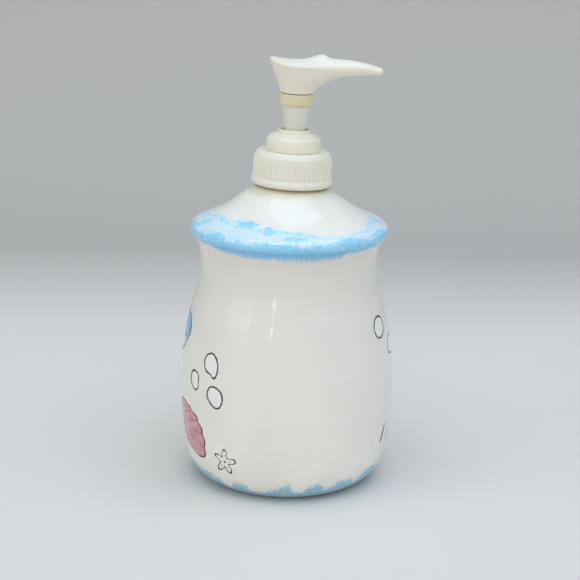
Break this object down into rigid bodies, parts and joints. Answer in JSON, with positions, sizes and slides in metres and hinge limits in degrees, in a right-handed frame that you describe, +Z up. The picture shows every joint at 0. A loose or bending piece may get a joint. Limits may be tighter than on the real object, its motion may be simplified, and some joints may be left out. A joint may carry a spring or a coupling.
{
  "type": "pump dispenser bottle",
  "caption": "Glazed ceramic soap or detergent dispenser: waisted bottle with a shoulder roll, threaded neck, ribbed screw closure and a press pump with a spout.",
  "frame": {"origin": "centre of the flat foot ring that the bottle stands on", "axes": "+Z up along the bottle, +X towards the spout, +Y to the left of someone looking along the spout"},
  "size_m": [0.0856, 0.0856, 0.1702],
  "materials": {
    "glaze": "clear gloss glaze over white slip, hand-painted blue, pink and black underglaze",
    "ivory_plastic": "moulded, satin to gloss",
    "stem_plastic": "moulded, satin",
    "yellowed_plastic": "moulded, aged yellow",
    "natural_plastic": "natural polypropylene, slightly translucent",
    "seal_plastic": "soft polyethylene",
    "gasket_foam": "matt soft gasket",
    "tube_plastic": "natural polyethylene tube",
    "ball_steel": "polished stainless steel",
    "spring_steel": "drawn stainless wire"
  },
  "bodies": {
    "bottle": {"bottle": "glaze"},
    "neck_seal": {"neck_gasket": "gasket_foam"},
    "pump_core": {"pump_housing": "natural_plastic", "chaplet": "ivory_plastic", "dip_tube": "tube_plastic", "spring_seat": "natural_plastic", "return_spring": "spring_steel"},
    "closure": {"closure": "ivory_plastic"},
    "piston": {"piston_seal": "seal_plastic"},
    "head": {"stem": "stem_plastic", "piston_rod": "natural_plastic", "head_insert": "yellowed_plastic", "actuator_head": "ivory_plastic"},
    "inlet_valve": {"inlet_ball": "ball_steel"},
    "outlet_valve": {"outlet_ball": "ball_steel"}
  },
  "joints": [
    {"name": "pump_withdraw", "type": "slide", "parent": "bottle", "child": "neck_seal", "axis": [0.0396, 0, 0.9992], "range_m": [0, 0.135]},
    {"name": "pump_lift", "type": "slide", "parent": "neck_seal", "child": "pump_core", "axis": [0.0396, 0, 0.9992], "range_m": [0, 0.0047]},
    {"name": "closure_turn", "type": "hinge", "parent": "pump_core", "child": "closure", "pos_m": [0, 0, 0.1101], "axis": [0.0396, 0, 0.9992], "range_deg": [0, 400]},
    {"name": "head_press", "type": "slide", "parent": "pump_core", "child": "piston", "axis": [0.0396, 0, 0.9992], "range_m": [-0.0088, 0], "stiffness_N_per_m": 900, "springref_m": 0.01, "deforming": ["return_spring"]},
    {"name": "head_turn", "type": "hinge", "parent": "piston", "child": "head", "pos_m": [0, 0, 0.1101], "axis": [0.0396, 0, 0.9992], "continuous": true},
    {"name": "inlet_ball_lift", "type": "slide", "parent": "pump_core", "child": "inlet_valve", "axis": [0.0396, 0, 0.9992], "range_m": [0, 0.0015]},
    {"name": "outlet_ball_lift", "type": "slide", "parent": "head", "child": "outlet_valve", "axis": [0.0396, 0, 0.9992], "range_m": [0, 0.0015]}
  ],
  "couplings": [
    {"joint": "closure_turn", "follows": "pump_lift", "rad_per_m": 1484.3}
  ]
}
